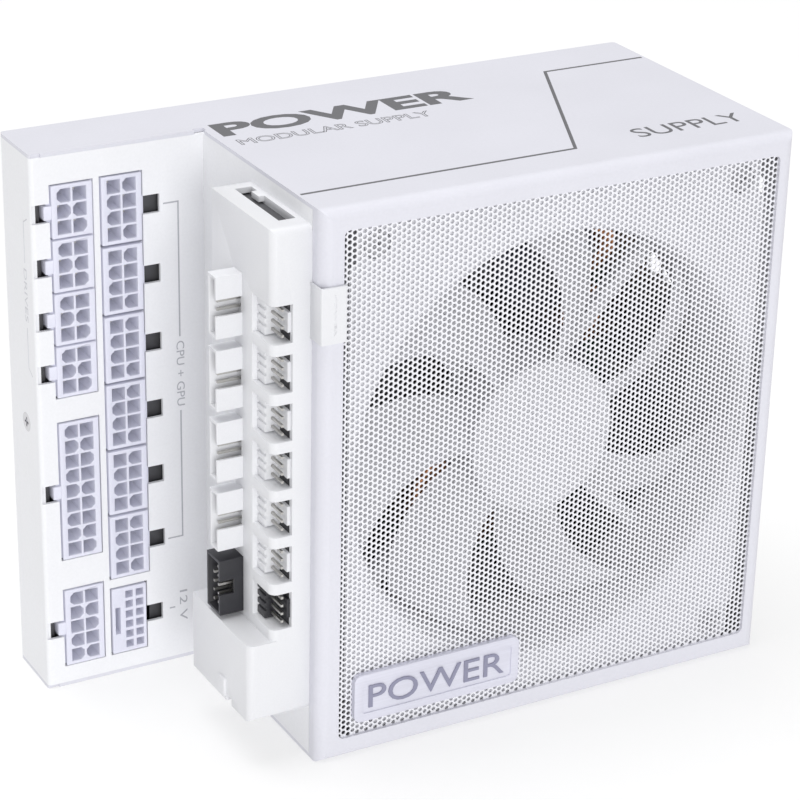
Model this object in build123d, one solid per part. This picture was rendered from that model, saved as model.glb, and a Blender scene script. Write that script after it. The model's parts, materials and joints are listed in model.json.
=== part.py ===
from build123d import *
import os
from math import cos, radians, sin, sqrt

# Modular computer power supply standing on its side.
# +Z is up, the fan faces -Y, the plug panel end is at -X and the mains inlet end at +X.
# The origin is the middle of the case's footprint, on the surface that it stands on.
# All sizes are millimetres.

# ---------------------------------------------------------------- case
case_length = 182.0          # X, the whole case
case_depth = 86.0            # Y, fan face to back wall
case_height = 150.0          # Z
extension_length = 46.6      # X, the thin end that carries the plug panel
extension_depth = 20.0       # Y, thickness of that thin end
sheet = 1.0                  # steel sheet of the case
bend_radius = 3.0            # outer radius round the fan face
corner_radius = 1.2          # outer radius of the upright corners
flange = 5.0                 # how far the cover turns back at its two sides
seam = 0.2                   # gap where the cover meets the chassis side walls

x_left = -case_length / 2
x_right = case_length / 2
y_front = -case_depth / 2
y_back = case_depth / 2
x_step = x_left + extension_length
y_panel = y_back - extension_depth

# relief slots of the cover's top and bottom sheets over the panel's bend
relief_depth = 1.2
inner_relief = (2.4, 0.6)    # slot length beyond and behind the step corner, along X
outer_relief = (0.5, 3.0)    # slot start and end from the thin end, along X

# ---------------------------------------------------------------- fan window and grille
window_left = 5.9            # from the step to the window
window_right = 4.6           # from the window to the inlet end
window_foot = 6.0
window_top = 5.6
window_corner = 1.5
grille_sheet = 0.6
grille_lap = 1.2             # how far the grille runs on behind the cover's face

window_x0 = x_step + window_left
window_x1 = x_right - window_right
window_z0 = window_foot
window_z1 = case_height - window_top
grille_y0 = y_front + sheet
grille_y1 = grille_y0 + grille_sheet

# badge on the grille's lower left corner
badge_length = 48.4
badge_height = 13.5
badge_offset = (4.1, 4.0)    # from the window's corner, along X and Z
badge_corner = 2.0
badge_thickness = 1.7
badge_relief = 0.4           # depth of the sunk field in the badge
badge_rim = 2.2

# ---------------------------------------------------------------- fan
fan_size = 120.0
fan_thickness = 25.0
fan_gap = 0.6                # grille to fan
fan_ear_thickness = 4.0
fan_ear_width = 116.0
fan_screw_x = 105.0          # screw spacing along X
fan_screw_z = 127.5          # screw spacing along Z
fan_ear_overhang = 3.0       # frame beyond the screw centres
fan_bore = 114.4
fan_mouth = 117.0            # wider mouth at the front
fan_mouth_depth = 3.0
tip_gap = 1.2                # blade tip to bore
rotor_radius = 21.0
rotor_wall = 1.4
rotor_setback = 5.6          # fan frame front to rotor front
rotor_length = 13.2
rotor_boss_radius = 3.2
rotor_edge = 1.2
blade_count = 7
blade_thickness = 1.5
# each section of a blade: share of the way from root to tip, chord, angle to the fan's face
blade_sections = ((0, 15, 48), (0.35, 19, 42), (0.7, 24, 35), (1, 28, 29))
blade_sweep = 25.0           # degrees that a blade leans forward from root to tip
blade_phase = 65.0           # degrees from +X to the first blade's root
shaft_radius = 1.5
shaft_setback = 1.6          # shaft's end before the frame's back
bearing_radius = 3.0
bearing_fit = 0.03           # radial running clearance on the shaft
bearing_tube_wall = 1.2
magnet_thickness = 1.9
magnet_setback = (2.0, 0.4)  # magnet ring inside the cup, from its front and its open end
stator_gap = 0.7             # stator to magnet ring
stator_setback = (3.6, 2.4)  # windings inside the cup, from its front and its open end
stator_tooth = (2.0, 4.0)    # ring thickness, leg width
stator_slot = (6.0, 2.0)     # gaps between the poles
coil_build = 1.6             # winding in front of and behind the laminations
coil_width = 6.8
coil_gap = 0.3               # coil to the ring and to the core
fan_board_thickness = 1.2
fan_board_gap = 0.4          # behind the cup
strut_count = 4
strut_width = 4.0
strut_thickness = 3.0
fan_screw_radius = 2.0
fan_screw_head = 3.4
fan_screw_head_height = 1.4
fan_screw_seat = 0.2         # head behind the ears' front face
fan_screw_bite = 2.0         # thread behind the bracket
fan_screw_cross = (3.2, 0.8, 0.9)    # driver recess: length, width, depth
bracket_sheet = 1.0
bracket_foot = 8.0           # leg of the fan bracket along the cover's wall

fan_x = (window_x0 + window_x1) / 2
fan_z = case_height / 2
fan_y0 = grille_y1 + fan_gap
fan_y1 = fan_y0 + fan_thickness
ear_y1 = fan_y0 + fan_ear_thickness
rotor_y0 = fan_y0 + rotor_setback
rotor_y1 = rotor_y0 + rotor_length
hub_plate_y0 = fan_y1 - strut_thickness
bearing_tube_radius = bearing_radius + bearing_tube_wall
magnet_outer = rotor_radius - rotor_wall
magnet_inner = magnet_outer - magnet_thickness

# ---------------------------------------------------------------- plug panel
cell_pitch = 4.2
cell_wall = 0.6              # housing between two cells
cell_key = 0.28              # cut corners of a keyed cell, as a share of the cell
cell_depth = 9.0
socket_width = 10.8
socket_rim = 0.6             # housing beyond the outermost cells' pitch squares, along Z
socket_proud = 0.4           # housing in front of the panel
socket_depth = 11.0          # housing behind the panel's front face
socket_clearance = 0.45      # cut-out round a housing
shoulder = (1.0, 1.5)        # housing's step behind the panel, along X and Y
pin_size = 0.9
pin_setback = 4.0            # pin tip behind the panel's front face
left_column_x = 10.7         # column centres from the thin end
right_column_x = 24.0
latch_notch_height = 5.0
latch_notch_length = 5.0
latch_ledge_length = 2.0
latch_ledge_depth = 4.0      # ledge behind the panel's front face
small_pitch = 3.0            # cells of the twelve-way high-power socket
small_cell = 2.1
small_cell_rows = 6
small_cell_inset = 1.9       # first column of small cells from the housing's right side
small_pin_size = 0.8
small_socket_width = 9.8
sideband_slot = (1.4, 8.0)
sideband_inset = 1.6         # that slot from the housing's left side
# each column from the top: name, rows of cells, gap above it (the first: from the case's top)
left_column = [
    ("socket_6pin_1", 3, 8.8),
    ("socket_6pin_2", 3, 0.6),
    ("socket_6pin_3", 3, 0.6),
    ("socket_6pin_4", 3, 0.6),
    ("socket_18pin", 9, 7.4),
    ("socket_10pin", 5, 9.4),
]
right_column = [
    ("socket_8pin_1", 4, 8.6),
    ("socket_8pin_2", 4, 0.88),
    ("socket_8pin_3", 4, 0.88),
    ("socket_8pin_4", 4, 0.88),
    ("socket_8pin_5", 4, 0.88),
    ("socket_8pin_6", 4, 0.88),
]
power_socket_gap = 3.4       # last 8-pin socket to the twelve-way one
power_socket_height = 19.4
plug_board_thickness = 1.6
plug_board_margin = 3.0      # board's edges inside the thin end
end_screw_y = 8.7            # screw in the thin end's face, from the panel plane
end_screw_radius = 1.5
end_screw_head = 2.6
end_screw_length = 5.0
end_screw_cross = (2.6, 0.7)         # driver recess: length, width
end_block = (4.0, 5.0, 9.0)  # threaded block behind that screw: X, Y, Z

cell_size = cell_pitch - cell_wall
plug_board_y0 = y_panel + socket_depth
plug_board_y1 = plug_board_y0 + plug_board_thickness
left_x = x_left + left_column_x
right_x = x_left + right_column_x

# ---------------------------------------------------------------- mains inlet and switch
inlet_flange = (24.0, 31.0, 2.2)     # Y, Z, thickness outside the wall
inlet_body = (19.8, 27.0)            # Y, Z, also the wall's cut-out
inlet_cavity = (16.5, 24.2)          # Y, Z
inlet_cavity_corner = 4.5            # chamfer of the cavity's two corners
inlet_cavity_depth = 15.5
inlet_length = 20.0                  # behind the wall's outer face
inlet_pin = (2.0, 4.0)               # Y, Z
inlet_pin_spacing = 7.0              # live and neutral either side of the middle, along Z
inlet_pin_offset = 2.0               # pins either side of the middle, along Y
inlet_pin_setback = 5.0              # pin tips behind the wall's outer face
inlet_tab_length = 7.0               # solder tabs behind the inlet
inlet_drop = (30.0, 44.0)            # inlet centre from the back wall along Y, from the floor along Z
switch_rise = 34.0                   # switch centre above the inlet centre
switch_flange = (15.0, 21.0, 2.0)
switch_body = (12.6, 19.0)
switch_wall = 1.0
switch_length = 15.0
rocker_gap = 0.4
rocker_tilt = 10.0                   # degrees either side of level
rocker_pivot_depth = 4.0             # pivot behind the wall's outer face
rocker_crown = 6.6                   # rocker top above the pivot
rocker_root = 2.5                    # rocker below the pivot
pivot_radius = 1.0
pivot_clearance = 0.05

inlet_y = y_back - inlet_drop[0]
inlet_z = inlet_drop[1]
switch_z = inlet_z + switch_rise
rocker_x = x_right - rocker_pivot_depth
rocker_width = switch_body[0] - 2 * switch_wall - 2 * rocker_gap
rocker_radius = switch_body[1] / 2 - switch_wall - rocker_gap

# ---------------------------------------------------------------- rear wall
vent_flats = 6.0             # hexagon across its flats
vent_pitch = 7.4
vent_field = (14.0, 14.0, 12.0)      # field's distance from the front, back and top
vent_clear = 5.0             # from the switch up to the field
mount_inset = 6.0            # screw holes from the wall's edges
mount_front_inset = 16.0     # upper front hole, along Y
mount_lower_inset = 30.0     # lower front hole, along Z
mount_drill_radius = 1.4
mount_collar_radius = 2.9
mount_collar_length = 3.0

# ---------------------------------------------------------------- cover screws
tab_length = 9.0
tab_width = 12.0
cover_screw_head = 2.8
cover_screw_radius = 1.5
cover_screw_length = 3.6

# ---------------------------------------------------------------- header hub
hub_thickness = 10.7         # X, left of the step wall
hub_front_inset = 5.0        # from the fan face
hub_depth = 33.0             # Y
hub_foot = 14.2
hub_top_inset = 4.7
hub_wall = 1.5
hub_edge = 2.0
base_plate = 1.5
foot_block_extra = 6.3       # X, how much thicker the hub is at its foot
foot_block_height = 21.8
window_count = 7             # front header windows, the lowest one for the black header
window_first_drop = 19.2     # hub top to the first window
hub_window_pitch = 12.85
hub_window_height = 9.9
hub_window_depth = 10.6      # along Y
front_header_inset = 0.9     # pin tips and locking wall behind the hub's front face
front_header_base = (4.2, 4.2)       # X, Y of the block that holds the pins
front_header_recess = 1.3            # block behind the hub's left face
front_lock = (0.9, 5.2)              # X, Z of the locking wall beside the pins
front_groove = (0.5, 0.9)            # depth and height of the grooves between the pins
hub_board_thickness = 1.6
hub_board_inset = 5.1        # board's front face from the step wall
header_wall = 0.8
header_gap = 0.35            # header to the shelf above and below it
hub_pin_size = 0.64
hub_pin_pitch = 2.2
side_pin_setback = 1.2       # pin tips inside a side header's mouth
side_header_drop = 16.1      # hub top to the first side header
side_header_pitch = 19.15
side_header_count = 4
side_header = (7.0, 4.6, 16.1)       # reach beyond the hub wall, Y and Z
side_header_y = 16.0                 # from the hub's front
side_slot_height = 4.4
side_header_floor = 1.0              # cavity's floor behind the hub's left face
box_header = (6.6, 7.5, 15.4)        # black nine-pin header: reach, Y, Z
box_header_foot = 23.1               # its lower edge above the hub's foot
box_notch = (4.0, 4.0)       # key notch: X, Z
box_pin_setback = 0.8
box_pin_pitch = 2.54
slot_width = 4.45            # cable slot in the hub's top
slot_wall = 1.55             # from the slot to the step wall
slot_front = 5.9             # from the hub's front face
slot_length = 24.0
slot_tooth = (1.5, 4.0)
clip_height = 14.4
clip_drop = 14.3             # hub top to the clip's top
clip_reach = 6.4             # over the fan face, from the step
clip_back = 0.5              # over the hub, from the step
clip_thickness = 0.8
clip_gap = 0.15              # clip to the fan face
magnet_radius = 4.0
magnet_spacing = 80.0
hub_notch = (10.1, 3.0, 2.0)         # cable notch in the foot: from the front, width, height
nub_height = 4.9
nub_width = 3.4
nub_reach = 0.8

hub_x0 = x_step - hub_thickness
hub_y0 = y_front + hub_front_inset
hub_y1 = hub_y0 + hub_depth
hub_z0 = hub_foot
hub_z1 = case_height - hub_top_inset
hub_board_x0 = x_step - hub_board_inset
hub_board_x1 = hub_board_x0 + hub_board_thickness
hub_base_x0 = x_step - base_plate

# ---------------------------------------------------------------- inside the case
board_thickness = 1.6
standoff_height = 4.0
standoff_radius = 2.8
standoff_screw_radius = 1.6
standoff_screw_head = 2.0    # head's height in front of the board
insulation = 0.4             # plastic sheet on the back wall
standoff_inset = 7.0
board_margin = 3.0           # board's edges from the walls
tallest_part = 45.0          # above the main board


def box(x0, x1, y0, y1, z0, z1):
    """Solid block between two opposite corners."""
    centre = ((x0 + x1) / 2, (y0 + y1) / 2, (z0 + z1) / 2)
    return Pos(*centre) * Box(x1 - x0, y1 - y0, z1 - z0)


def prism_y(sketch, y0, y1):
    """Solid with a section drawn in X and Z, between two planes across Y."""
    return extrude(Pos(0, y1, 0) * (Plane.XZ * sketch), amount=y1 - y0)


def prism_x(sketch, x0, x1):
    """Solid with a section drawn in Y and Z, between two planes across X."""
    return extrude(Pos(x0, 0, 0) * (Plane.YZ * sketch), amount=x1 - x0)


def prism_z(sketch, z0, z1):
    """Solid with a section drawn in X and Y, between two planes across Z."""
    return extrude(Pos(0, 0, z0) * sketch, amount=z1 - z0)


def rod_y(radius, x, z, y0, y1):
    return prism_y(Pos(x, z) * Circle(radius), y0, y1)


def rod_x(radius, y, z, x0, x1):
    return prism_x(Pos(y, z) * Circle(radius), x0, x1)


def rod_z(radius, x, y, z0, z1):
    return prism_z(Pos(x, y) * Circle(radius), z0, z1)


def tube_y(outer, inner, x, z, y0, y1):
    return prism_y(Pos(x, z) * (Circle(outer) - Circle(inner)), y0, y1)


def cross(length, width):
    """Section of a screw's driver recess."""
    return Rectangle(length, width) + Rectangle(width, length)


def rounded_plate(x0, x1, y0, y1, z0, z1, radius):
    """Plate across Y with rounded corners."""
    outline = Pos((x0 + x1) / 2, (z0 + z1) / 2) * RectangleRounded(x1 - x0, z1 - z0, radius)
    return prism_y(outline, y0, y1)


# ================================================================ case
def case_block(inset, bend, corner):
    """L-shaped block of the case, moved inwards by inset, rounded round the fan face."""
    outline = Polyline(
        (x_step + inset, y_front + inset),
        (x_right - inset, y_front + inset),
        (x_right - inset, y_back - inset),
        (x_left + inset, y_back - inset),
        (x_left + inset, y_panel + inset),
        (x_step + inset, y_panel + inset),
        close=True,
    )
    block = prism_z(make_face(outline), inset, case_height - inset)
    upright = block.edges().filter_by(Axis.Z)
    corners = upright.filter_by(lambda edge: edge.center().Y > y_panel + 2 * inset + 1)
    corners += upright.filter_by(lambda edge: edge.center().X < x_left + inset + 0.1)
    block = fillet(ShapeList(set(corners)), corner)
    face = block.faces().filter_by(Plane.XZ).sort_by(Axis.Y)[0]
    return fillet(face.edges(), bend)


def case_shell():
    outer = case_block(0, bend_radius, corner_radius)
    inner = case_block(sheet, bend_radius - sheet, corner_radius / 2)
    return outer - inner


def cover_screw_places():
    """Centres of the screws in the case's bottom, and which wall each tab grows from."""
    return [
        (x_left + tab_width, y_back - sheet - tab_length / 2, "back"),
        (x_right - sheet - 2 * tab_width, y_back - sheet - tab_length / 2, "back"),
        (x_right - sheet - tab_length / 2, y_back - case_depth / 2, "side"),
        (x_step + sheet + tab_length / 2, y_back - case_depth / 2, "side"),
    ]


def cover_screws():
    screws = []
    for x, y, wall in cover_screw_places():
        head = Pos(x, y, sheet / 2) * Cone(cover_screw_head, cover_screw_radius, sheet)
        shank = rod_z(cover_screw_radius, x, y, sheet, cover_screw_length)
        screws.append(head + shank)
    return screws


def fan_cover(shell, screws):
    """Fan face with its rounded edges, the whole top and bottom, and two short side flanges."""
    inside = box(
        x_left - 1, x_right + 1, y_front + flange, y_back + 1, sheet, case_height - sheet
    )
    cover = shell - inside
    cover -= rounded_plate(
        window_x0, window_x1, y_front - 1, y_front + sheet + 1, window_z0, window_z1, window_corner
    )
    for z0, z1 in ((-1, sheet), (case_height - sheet, case_height + 1)):
        cover -= box(
            x_step - inner_relief[0], x_step + inner_relief[1],
            y_panel - 1, y_panel + relief_depth, z0, z1,
        )
        cover -= box(
            x_left + outer_relief[0], x_left + outer_relief[1],
            y_panel - 1, y_panel + relief_depth / 2, z0, z1,
        )
    for screw in screws:
        cover -= screw
    return cover


def mount_places():
    """Y and Z of the four screw holes in the inlet wall."""
    return [
        (y_back - mount_inset, case_height - mount_inset),
        (y_back - mount_inset, mount_inset),
        (y_front + mount_front_inset, case_height - mount_inset),
        (y_front + mount_inset, mount_lower_inset),
    ]


def vent_places():
    """Centres of the hexagonal vents, in staggered rows over the switch."""
    y0 = y_front + vent_field[0]
    y1 = y_back - vent_field[1]
    z0 = switch_z + switch_flange[1] / 2 + vent_clear
    z1 = case_height - vent_field[2]
    row_rise = vent_pitch * sqrt(3) / 2
    rows = int((z1 - z0) / row_rise) + 1
    columns = int((y1 - y0) / vent_pitch) + 1
    places = []
    for row in range(rows):
        shift = vent_pitch / 2 if row % 2 else 0
        for column in range(columns - row % 2):
            places.append((y0 + shift + column * vent_pitch, z0 + row * row_rise))
    return places


def chassis_base(shell, sockets):
    """Belt of sheet round the case: plug panel, end wall, back wall, inlet wall, step wall."""
    belt = shell & box(
        x_left - 1, x_right + 1, y_front + flange + seam, y_back + 1, sheet, case_height - sheet
    )
    for socket in sockets:
        belt -= socket["cut_out"]
    belt -= rod_x(end_screw_radius, y_panel + end_screw_y, case_height / 2, x_left - 1, x_left + 2)
    belt -= Pos(x_left + sheet / 2, y_panel + end_screw_y, case_height / 2) * (
        Rot(0, 90, 0) * Cone(end_screw_head, end_screw_radius, sheet)
    )
    belt -= box(
        x_right - sheet - 1, x_right + 1,
        inlet_y - inlet_body[0] / 2, inlet_y + inlet_body[0] / 2,
        inlet_z - inlet_body[1] / 2, inlet_z + inlet_body[1] / 2,
    )
    belt -= box(
        x_right - sheet - 1, x_right + 1,
        inlet_y - switch_body[0] / 2, inlet_y + switch_body[0] / 2,
        switch_z - switch_body[1] / 2, switch_z + switch_body[1] / 2,
    )
    for y, z in mount_places():
        belt += rod_x(mount_collar_radius, y, z, x_right - sheet - mount_collar_length, x_right - sheet)
    for y, z in mount_places():
        belt -= rod_x(mount_drill_radius, y, z, x_right - sheet - mount_collar_length - 1, x_right + 1)
    vents = Sketch() + [
        Pos(y, z) * RegularPolygon(vent_flats / 2, 6, major_radius=False, rotation=30)
        for y, z in vent_places()
    ]
    belt -= prism_x(vents, x_right - sheet - 1, x_right + 1)
    for x, y, wall in cover_screw_places():
        half_x = tab_width / 2 if wall == "back" else tab_length / 2
        half_y = tab_length / 2 if wall == "back" else tab_width / 2
        tab = box(x - half_x, x + half_x, y - half_y, y + half_y, sheet, 2 * sheet)
        belt += tab - rod_z(cover_screw_radius, x, y, 0, 3 * sheet)
    return belt


def fan_grille():
    """Grille plate behind the fan window, plain here: its perforation is surface detail."""
    return rounded_plate(
        window_x0 - grille_lap, window_x1 + grille_lap, grille_y0, grille_y1,
        window_z0 - grille_lap, window_z1 + grille_lap, window_corner,
    )


def badge_plate():
    x0 = window_x0 + badge_offset[0]
    z0 = window_z0 + badge_offset[1]
    x1 = x0 + badge_length
    z1 = z0 + badge_height
    front = grille_y0 - badge_thickness
    badge = rounded_plate(x0, x1, front, grille_y0, z0, z1, badge_corner)
    field = rounded_plate(
        x0 + badge_rim, x1 - badge_rim, front - 1, front + badge_relief,
        z0 + badge_rim, z1 - badge_rim, badge_corner / 2,
    )
    return badge - field


# ================================================================ fan
def fan_screw_places():
    return [
        (fan_x + side * fan_screw_x / 2, fan_z + level * fan_screw_z / 2)
        for side in (-1, 1)
        for level in (-1, 1)
    ]


def fan_frame():
    """Square duct with ears above and below, struts, bearing tube and motor plate."""
    ear_height = fan_screw_z + 2 * fan_ear_overhang + 2 * fan_screw_head
    body = Pos(fan_x, fan_z) * RectangleRounded(fan_size, fan_size, 3)
    ears = Pos(fan_x, fan_z) * RectangleRounded(fan_ear_width, ear_height, 3)
    frame = prism_y(body, fan_y0, fan_y1) + prism_y(ears, fan_y0, ear_y1)
    frame -= rod_y(fan_bore / 2, fan_x, fan_z, fan_y0 - 1, fan_y1 + 1)
    mouth_y = fan_y0 + fan_mouth_depth / 2
    mouth = Rot(90, 0, 0) * Cone(fan_bore / 2, fan_mouth / 2, fan_mouth_depth)
    frame -= Pos(fan_x, mouth_y, fan_z) * mouth
    for x, z in fan_screw_places():
        frame -= rod_y(fan_screw_radius, x, z, fan_y0 - 1, ear_y1 + 1)
        frame -= rod_y(
            fan_screw_head + 0.3, x, z, fan_y0 - 1, fan_y0 + fan_screw_head_height + fan_screw_seat
        )
    plate = rod_y(rotor_radius, fan_x, fan_z, hub_plate_y0, fan_y1)
    for strut in range(strut_count):
        angle = 45 + strut * 360 / strut_count
        reach = fan_bore / 2 + 2
        bar = Rot(0, angle, 0) * box(
            0, reach, hub_plate_y0, fan_y1, -strut_width / 2, strut_width / 2
        )
        plate += Pos(fan_x, 0, fan_z) * bar
    tube = rod_y(bearing_tube_radius, fan_x, fan_z, rotor_y0 + 2.5 * rotor_wall, hub_plate_y0)
    frame += plate + tube
    frame -= rod_y(bearing_radius, fan_x, fan_z, rotor_y0, fan_y1 - 1)
    return frame


def blade(root_angle):
    """One swept and twisted blade, lofted through four flat sections."""
    sections = []
    middle = (rotor_y0 + rotor_y1) / 2 + 0.4
    tip_radius = fan_bore / 2
    for share, chord, pitch in blade_sections:
        radius = rotor_radius - 2 + share * (tip_radius - rotor_radius + 2)
        angle = radians(root_angle + blade_sweep * share ** 2)
        outward = Vector(cos(angle), 0, sin(angle))
        around = Vector(-sin(angle), 0, cos(angle))
        along = around * cos(radians(pitch)) - Vector(0, 1, 0) * sin(radians(pitch))
        place = Vector(fan_x, middle, fan_z) + outward * radius
        sections.append(Plane(place, x_dir=along, z_dir=outward) * Rectangle(chord, blade_thickness))
    return loft(sections)


def fan_rotor():
    """Motor cup with seven swept blades round it and a boss for the shaft."""
    cup = rod_y(rotor_radius, fan_x, fan_z, rotor_y0, rotor_y1)
    cup = fillet(cup.edges().sort_by(Axis.Y)[0], rotor_edge)
    blades = [blade(blade_phase + step * 360 / blade_count) for step in range(blade_count)]
    rim = rod_y(fan_bore / 2 - tip_gap, fan_x, fan_z, rotor_y0 - 5, rotor_y1 + 5)
    rotor = cup
    for one in blades:
        rotor += one & rim
    rotor -= rod_y(magnet_outer, fan_x, fan_z, rotor_y0 + rotor_wall, rotor_y1 + 8)
    rotor += rod_y(rotor_boss_radius, fan_x, fan_z, rotor_y0 + rotor_wall, rotor_y0 + 2 * rotor_wall)
    rotor -= rod_y(shaft_radius, fan_x, fan_z, rotor_y0 + rotor_wall, rotor_y1)
    return rotor


def fan_shaft():
    return rod_y(shaft_radius, fan_x, fan_z, rotor_y0 + rotor_wall, fan_y1 - shaft_setback)


def fan_magnet():
    front, back = magnet_setback
    return tube_y(magnet_outer, magnet_inner, fan_x, fan_z, rotor_y0 + front, rotor_y1 - back)


def fan_bearing():
    return tube_y(
        bearing_radius, shaft_radius + bearing_fit, fan_x, fan_z,
        rotor_y0 + 2.5 * rotor_wall, fan_y1 - shaft_setback,
    )


def fan_stator():
    """Four-pole lamination stack with a wound coil on each pole."""
    y0 = rotor_y0 + stator_setback[0]
    y1 = rotor_y1 - stator_setback[1]
    outer = magnet_inner - stator_gap
    wall, leg = stator_tooth
    core = bearing_tube_radius + wall
    section = Circle(outer) - Circle(outer - wall)
    section += cross(2 * (outer - wall / 2), leg) + Circle(core) - Circle(bearing_tube_radius)
    for pole in range(4):
        section -= Rot(0, 0, 45 + 90 * pole) * (Pos(outer, 0) * Rectangle(*stator_slot))
    stack = prism_y(Pos(fan_x, fan_z) * section, y0 + coil_build, y1 - coil_build)
    coil_x = (core + outer - wall) / 2
    coil_length = outer - wall - core - 2 * coil_gap
    for pole in range(4):
        coil = Rot(0, 90 * pole, 0) * box(
            coil_x - coil_length / 2, coil_x + coil_length / 2, y0, y1, -coil_width / 2, coil_width / 2
        )
        stack += Pos(fan_x, 0, fan_z) * coil
    return stack


def fan_board():
    y0 = rotor_y1 + fan_board_gap
    return tube_y(
        magnet_inner, bearing_tube_radius, fan_x, fan_z, y0, y0 + fan_board_thickness
    )


def fan_screws():
    length, width, depth = fan_screw_cross
    screws = []
    for x, z in fan_screw_places():
        head_y0 = fan_y0 + fan_screw_seat
        head_y1 = head_y0 + fan_screw_head_height
        head = rod_y(fan_screw_head, x, z, head_y0, head_y1)
        shank = rod_y(fan_screw_radius, x, z, head_y1, ear_y1 + bracket_sheet + fan_screw_bite)
        recess = prism_y(Pos(x, z) * cross(length, width), fan_y0, fan_y0 + depth)
        screws.append(head + shank - recess)
    return screws


def fan_brackets():
    """Angle strips under the case's top and bottom that the fan's ears are screwed to."""
    strips = []
    half = fan_ear_width / 2
    inner = fan_screw_z / 2 - fan_ear_overhang - fan_screw_head
    for level in (-1, 1):
        wall_z = fan_z + level * (case_height / 2 - sheet)
        near_z = wall_z - level * bracket_sheet
        ear_z = fan_z + level * max(inner, fan_size / 2 + 0.2)
        y0 = ear_y1
        z_leg = sorted((ear_z, wall_z))
        z_foot = sorted((near_z, wall_z))
        strip = box(fan_x - half, fan_x + half, y0, y0 + bracket_sheet, *z_leg)
        strip += box(fan_x - half, fan_x + half, y0, y0 + bracket_foot, *z_foot)
        for x, z in fan_screw_places():
            strip -= rod_y(fan_screw_radius, x, z, y0 - 1, y0 + bracket_sheet + 1)
        strips.append(strip)
    return strips


# ================================================================ plug panel
def cell_outline(kind):
    """Square cell, or one with its two left or two right corners cut off."""
    outline = Rectangle(cell_size, cell_size)
    if kind == "square":
        return outline
    side = -1 if kind == "left" else 1
    keyed = outline.vertices().filter_by(lambda vertex: vertex.X * side > 0)
    return chamfer(keyed, cell_size * cell_key)


def latch_box(x_edge, side, z, length, height, y0, y1):
    """Block beside a housing at the height of its latch; side is -1 for left, 1 for right."""
    x0, x1 = sorted((x_edge, x_edge + side * length))
    return box(x0, x1, y0, y1, z - height / 2, z + height / 2)


def plug_socket(name, x, z_top, rows, latch_side, kinds):
    """Two-column socket housing with its cells, pins and the panel cut-out that it needs."""
    height = rows * cell_pitch + 2 * socket_rim
    z0 = z_top - height
    y0 = y_panel - socket_proud
    half = socket_width / 2
    housing = box(x - half, x + half, y0, plug_board_y0, z0, z_top)
    housing += box(
        x - half - shoulder[0], x + half + shoulder[0],
        y_panel + sheet, y_panel + sheet + shoulder[1], z0, z_top,
    )
    z_mid = (z0 + z_top) / 2
    if latch_side < 0:
        housing += latch_box(
            x - half, latch_side, z_mid, latch_ledge_length, cell_size,
            y_panel - 0.1, y_panel + latch_ledge_depth,
        )
    cells = Sketch()
    pins = []
    for row in range(rows):
        for column in range(2):
            cell_x = x + (column - 0.5) * cell_pitch
            cell_z = z_top - socket_rim - (row + 0.5) * cell_pitch
            cells += Pos(cell_x, cell_z) * cell_outline(kinds[(row + column * 2) % len(kinds)])
            pins.append(box(
                cell_x - pin_size / 2, cell_x + pin_size / 2, y_panel + pin_setback, plug_board_y0,
                cell_z - pin_size / 2, cell_z + pin_size / 2,
            ))
    housing -= prism_y(cells, y0 - 1, y0 + cell_depth)
    housing -= pins
    clear = socket_clearance
    cut_out = box(
        x - half - clear, x + half + clear, y_panel - 1, y_panel + sheet + 0.01,
        z0 - clear, z_top + clear,
    )
    cut_out += latch_box(
        x + latch_side * half, latch_side, z_mid, latch_notch_length, latch_notch_height,
        y_panel - 1, y_panel + sheet + 0.01,
    )
    return {"name": name, "solid": housing, "pins": pins, "cut_out": cut_out}


def power_socket(z_top):
    """Twelve-way high-power socket with small cells and a slot for its four signal pins."""
    half = small_socket_width / 2
    x = right_x - socket_width / 2 + half
    z0 = z_top - power_socket_height
    z_mid = (z0 + z_top) / 2
    y0 = y_panel - socket_proud
    housing = box(x - half, x + half, y0, plug_board_y0, z0, z_top)
    cells = Pos(x - half + sideband_inset, z_mid) * Rectangle(*sideband_slot)
    half_pin = small_pin_size / 2
    pins = []
    for row in range(small_cell_rows):
        for column in range(2):
            cell_x = x + half - small_cell_inset - column * small_pitch
            cell_z = z_mid + (row - (small_cell_rows - 1) / 2) * small_pitch
            cells += Pos(cell_x, cell_z) * Rectangle(small_cell, small_cell)
            pins.append(box(
                cell_x - half_pin, cell_x + half_pin, y_panel + pin_setback, plug_board_y0,
                cell_z - half_pin, cell_z + half_pin,
            ))
    housing -= prism_y(cells, y0 - 1, y0 + cell_depth)
    housing -= pins
    clear = socket_clearance
    cut_out = box(
        x - half - clear, x + half + clear, y_panel - 1, y_panel + sheet + 0.01,
        z0 - clear, z_top + clear,
    )
    cut_out += latch_box(
        x + half, 1, z_mid, latch_notch_length, latch_notch_height,
        y_panel - 1, y_panel + sheet + 0.01,
    )
    return {"name": "socket_12way", "solid": housing, "pins": pins, "cut_out": cut_out}


def all_sockets():
    sockets = []
    z_top = case_height
    for name, rows, gap in left_column:
        z_top -= gap
        sockets.append(plug_socket(name, left_x, z_top, rows, -1, ("left", "right", "square")))
        z_top -= rows * cell_pitch + 2 * socket_rim
    z_top = case_height
    for name, rows, gap in right_column:
        z_top -= gap
        kinds = ("square", "left", "left", "square")
        sockets.append(plug_socket(name, right_x, z_top, rows, 1, kinds))
        z_top -= rows * cell_pitch + 2 * socket_rim
    sockets.append(power_socket(z_top - power_socket_gap))
    return sockets


def connector_board():
    return box(
        x_left + sheet + plug_board_margin, x_step - plug_board_margin,
        plug_board_y0, plug_board_y1, plug_board_margin + sheet,
        case_height - sheet - plug_board_margin,
    )


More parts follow.
